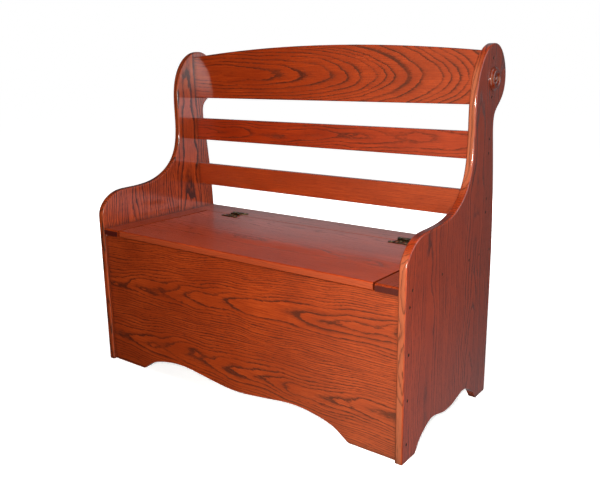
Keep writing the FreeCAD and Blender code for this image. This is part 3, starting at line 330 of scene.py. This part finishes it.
# ------------------------------------------------------------- other finishes
def metal(name, base, worn, rough, wear, edge_mm, scale=900.0):
    t = Tree(name)
    tc = t.node("ShaderNodeTexCoord")
    n1 = t.noise(tc.outputs["Object"], 3.0, 0.6, scale=scale)
    n2 = t.noise(tc.outputs["Object"], 2.0, 0.5, scale=scale * 0.12)
    e = t.edge(edge_mm / 1000.0, 6)
    k = t.math("MULTIPLY", e, t.remap(n1, 0.35, 0.62, 0.2, wear), clamp=True)
    k = t.math("ADD", k, t.remap(n2, 0.60, 0.78, 0.0, 0.35 * wear), clamp=True)
    colour = t.mix(k, t.mix(n2, base, tuple(c * 0.6 for c in base)), worn)
    b = t.node("ShaderNodeBsdfPrincipled")
    b.inputs["Metallic"].default_value = 1.0
    t.link(colour, b.inputs["Base Color"])
    t.link(t.mad(n1, 0.22, rough), b.inputs["Roughness"])
    bump = t.node("ShaderNodeBump")
    bump.inputs["Strength"].default_value = 0.25
    bump.inputs["Distance"].default_value = 0.0002
    t.link(n1, bump.inputs["Height"])
    t.link(bump.outputs[0], b.inputs["Normal"])
    t.link(b.outputs[0], t.out.inputs[0])
    return t.mat


hinge = metal("hinge_black", (0.060, 0.042, 0.020), (0.30, 0.21, 0.09), 0.34, 0.8, 0.6)
brass = metal("hinge_brass", (0.52, 0.38, 0.20), (0.80, 0.64, 0.38), 0.20, 0.8, 0.4)
zinc = metal("screw_zinc", (0.42, 0.41, 0.39), (0.66, 0.65, 0.62), 0.26, 0.8, 0.4)
for side in ("left", "right"):
    finish_node(side + "_hinge_fixed_leaf", hinge)
    finish_node(side + "_hinge_lid_leaf", hinge)
    finish_node(side + "_hinge_pin", hinge)
for n in ("lid_hinge_screws", "fixed_hinge_screws"):
    finish_node(n, brass)
for n in ("crest_rail_screws", "upper_slat_screws", "lower_slat_screws", "seat_strip_screws", "rear_board_screws",
          "front_panel_screws", "bottom_cleat_screws", "back_panel_screws", "lid_batten_screws"):
    finish_node(n, zinc)


def plug_wood(name):
    t = Tree(name)
    tc = t.node("ShaderNodeTexCoord")
    n1 = t.noise(tc.outputs["Object"], 3.0, 0.6, scale=1600.0)
    n2 = t.noise(tc.outputs["Object"], 1.0, 0.5, scale=60.0)
    colour = t.mix(n1, (0.007, 0.0030, 0.0022), (0.020, 0.0060, 0.0040))
    colour = t.mix(t.remap(n2, 0.45, 0.7, 0.0, 0.5), colour, (0.030, 0.0080, 0.0045))
    b = t.node("ShaderNodeBsdfPrincipled")
    t.link(colour, b.inputs["Base Color"])
    t.link(t.mad(n1, 0.2, 0.5), b.inputs["Roughness"])
    b.inputs["Specular IOR Level"].default_value = 0.15
    b.inputs["Coat Weight"].default_value = 0.1
    b.inputs["Coat Roughness"].default_value = 0.25
    bump = t.node("ShaderNodeBump")
    bump.inputs["Strength"].default_value = 0.3
    bump.inputs["Distance"].default_value = 0.0002
    t.link(n1, bump.inputs["Height"])
    t.link(bump.outputs[0], b.inputs["Normal"])
    t.link(b.outputs[0], t.out.inputs[0])
    return t.mat


plugs = plug_wood("dark_plug")
for n in ("left_hole_plugs", "right_hole_plugs"):
    finish_node(n, plugs)

# ---------------------------------------------------------------- the camera
CAM = Vector((1.21970, -1.27004 - 0.25853, 0.90282))
AZ, PITCH, ROLL, FOCAL = math.radians(36.69), math.radians(13.66), math.radians(-0.56), 686.56
fwd = Vector((-math.sin(AZ) * math.cos(PITCH), math.cos(AZ) * math.cos(PITCH), -math.sin(PITCH)))
right = Vector((math.cos(AZ), math.sin(AZ), 0.0))
up = right.cross(fwd)
r2 = right * math.cos(ROLL) + up * math.sin(ROLL)
u2 = up * math.cos(ROLL) - right * math.sin(ROLL)
cam_data = bpy.data.cameras.new("camera")
cam_data.sensor_fit = "HORIZONTAL"
cam_data.sensor_width = 36.0
cam_data.lens = 36.0 * FOCAL / 600.0
cam_data.clip_start = 0.05
cam_data.shift_x = -0.0156
cam_data.shift_y = -0.0250
cam = bpy.data.objects.new("camera", cam_data)
m = Matrix.Identity(4)
for i in range(3):
    m[i][0], m[i][1], m[i][2], m[i][3] = r2[i], u2[i], -fwd[i], CAM[i]
cam.matrix_world = m
scene.collection.objects.link(cam)
scene.camera = cam

# ----------------------------------------------------------- floor and light
bpy.ops.mesh.primitive_plane_add(size=60.0, location=(0, 0, -0.0002))
floor = bpy.context.object
floor.name = "floor"
ft = Tree("floor_pale")
fx, fy, fz = ft.split(ft.node("ShaderNodeTexCoord").outputs["Object"])
away = ft.math("SQRT", ft.add(ft.mul(fx, fx), ft.mul(fy, fy)))
fb = ft.node("ShaderNodeBsdfPrincipled")
fb.inputs["Base Color"].default_value = (0.86, 0.86, 0.86, 1)
fb.inputs["Roughness"].default_value = 0.9
fb.inputs["Specular IOR Level"].default_value = 0.0
fb.inputs["Emission Color"].default_value = (1, 1, 1, 1)
# the floor glows white; the glow drops to 0.55 close to the bench, a painted shade round it, so that the lamps'
# shadows still show
ft.link(ft.remap(away, 0.6, 2.2, 0.55, 1.0, True), fb.inputs["Emission Strength"])
ft.link(fb.outputs[0], ft.out.inputs[0])
floor.data.materials.append(ft.mat)
floor.visible_glossy = False
floor.visible_diffuse = False

# The sky is white to the camera.  In the varnish it shows as a studio that is
# bright behind the bench, has a bright card at its right and is dim in front.
world = bpy.data.worlds.new("studio")
scene.world = world
world.use_nodes = True
world.cycles_visibility.diffuse = False
wt = world.node_tree
wt.nodes.clear()


def wnode(kind, **props):
    n = wt.nodes.new(kind)
    for k, v in props.items():
        setattr(n, k, v)
    return n


def wmath(op, a, b=0.0):
    n = wnode("ShaderNodeMath", operation=op)
    for i, q in enumerate((a, b)):
        if isinstance(q, bpy.types.NodeSocket):
            wt.links.new(q, n.inputs[i])
        else:
            n.inputs[i].default_value = q
    return n.outputs[0]


def wrange(q, a, b, c, d):
    n = wnode("ShaderNodeMapRange", interpolation_type="SMOOTHSTEP")
    wt.links.new(q, n.inputs[0])
    for i, r in enumerate((a, b, c, d)):
        n.inputs[i + 1].default_value = r
    return n.outputs[0]


sep = wnode("ShaderNodeSeparateXYZ")
wt.links.new(wnode("ShaderNodeTexCoord").outputs["Generated"], sep.inputs[0])
wx, wy, wz = sep.outputs
behind = wrange(wy, 0.15, 0.65, 0.0, 0.38)
behind = wmath("MULTIPLY", behind, wrange(wx, -0.74, -0.63, 0.12, 1.0))
behind = wmath("MULTIPLY", behind, wmath("SUBTRACT", 1.0, wmath("MULTIPLY", wrange(wx, 0.0, 0.2, 0.0, 1.0),
                                                                wrange(wz, -0.48, -0.28, 0.2, 0.68))))
card = wmath("MULTIPLY", wrange(wx, 0.82, 0.92, 0.0, 2.4), wrange(wmath("ABSOLUTE", wz), 0.45, 0.6, 1.0, 0.0))
card = wmath("MULTIPLY", card, wrange(wy, 0.22, 0.42, 1.0, 0.0))
window = wmath("MULTIPLY", wrange(wx, 0.58, 0.70, 0.0, 2.7), wrange(wz, -0.17, -0.01, 0.0, 1.0))
card = wmath("ADD", card, wmath("MULTIPLY", window, wrange(wy, 0.2, 0.5, 0.0, 1.0)))
wall = wmath("MULTIPLY", wrange(wx, -0.64, -0.40, 0.0, 1.35), wrange(wy, -0.60, -0.40, 1.0, 0.0))
wall = wmath("MULTIPLY", wall, wrange(wx, -0.32, -0.16, 1.0, 0.0))
tint = wnode("ShaderNodeMix", data_type="RGBA")
wt.links.new(wrange(wy, -0.2, 0.2, 0.0, 1.0), tint.inputs[0])
tint.inputs[6].default_value = (1.0, 0.84, 0.52, 1)
tint.inputs[7].default_value = (0.92, 0.95, 1.0, 1)
dim_sky = wnode("ShaderNodeBackground")
wt.links.new(tint.outputs[2], dim_sky.inputs[0])
wt.links.new(wmath("ADD", wmath("ADD", behind, card), wmath("ADD", wall, 0.015)), dim_sky.inputs[1])
white = wnode("ShaderNodeBackground")
white.inputs[0].default_value = (1, 1, 1, 1)
white.inputs[1].default_value = 1.0
mx = wnode("ShaderNodeMixShader")
wt.links.new(wnode("ShaderNodeLightPath").outputs["Is Camera Ray"], mx.inputs[0])
wt.links.new(dim_sky.outputs[0], mx.inputs[1])
wt.links.new(white.outputs[0], mx.inputs[2])
wt.links.new(mx.outputs[0], wnode("ShaderNodeOutputWorld").inputs[0])


def area(name, at, to, size, power, colour=(1, 1, 1), gloss=True):
    d = bpy.data.lights.new(name, "AREA")
    d.shape = "DISK"
    d.size = size
    d.energy = power
    d.color = colour
    o = bpy.data.objects.new(name, d)
    o.location = at
    o.rotation_euler = (Vector(to) - Vector(at)).to_track_quat("-Z", "Y").to_euler()
    o.visible_glossy = gloss
    scene.collection.objects.link(o)
    return o


area("key", (1.17, -1.60, 0.92), (0.1, -0.1, 0.45), 0.30, 56.0, (1.0, 0.97, 0.93))
area("low", (1.25, -0.35, 0.12), (0.53, 0.0, 0.15), 0.4, 2.2, gloss=False)
area("top", (0.5, -0.3, 2.6), (0.1, 0, 0.4), 1.6, 18.0, gloss=False)
area("back", (-0.9, 2.8, 1.5), (0, 0.2, 0.5), 2.0, 30.0, gloss=False)
area("rear", (0.5, 3.0, 0.45), (0, 0.2, 0.5), 2.0, 46.0, gloss=False)
area("left", (-2.8, 0.3, 1.3), (0, 0.1, 0.5), 1.6, 34.0, gloss=False)

scene.view_settings.view_transform = "Standard"
scene.view_settings.look = "None"
scene.view_settings.exposure = 0.0
scene.view_settings.gamma = 1.0
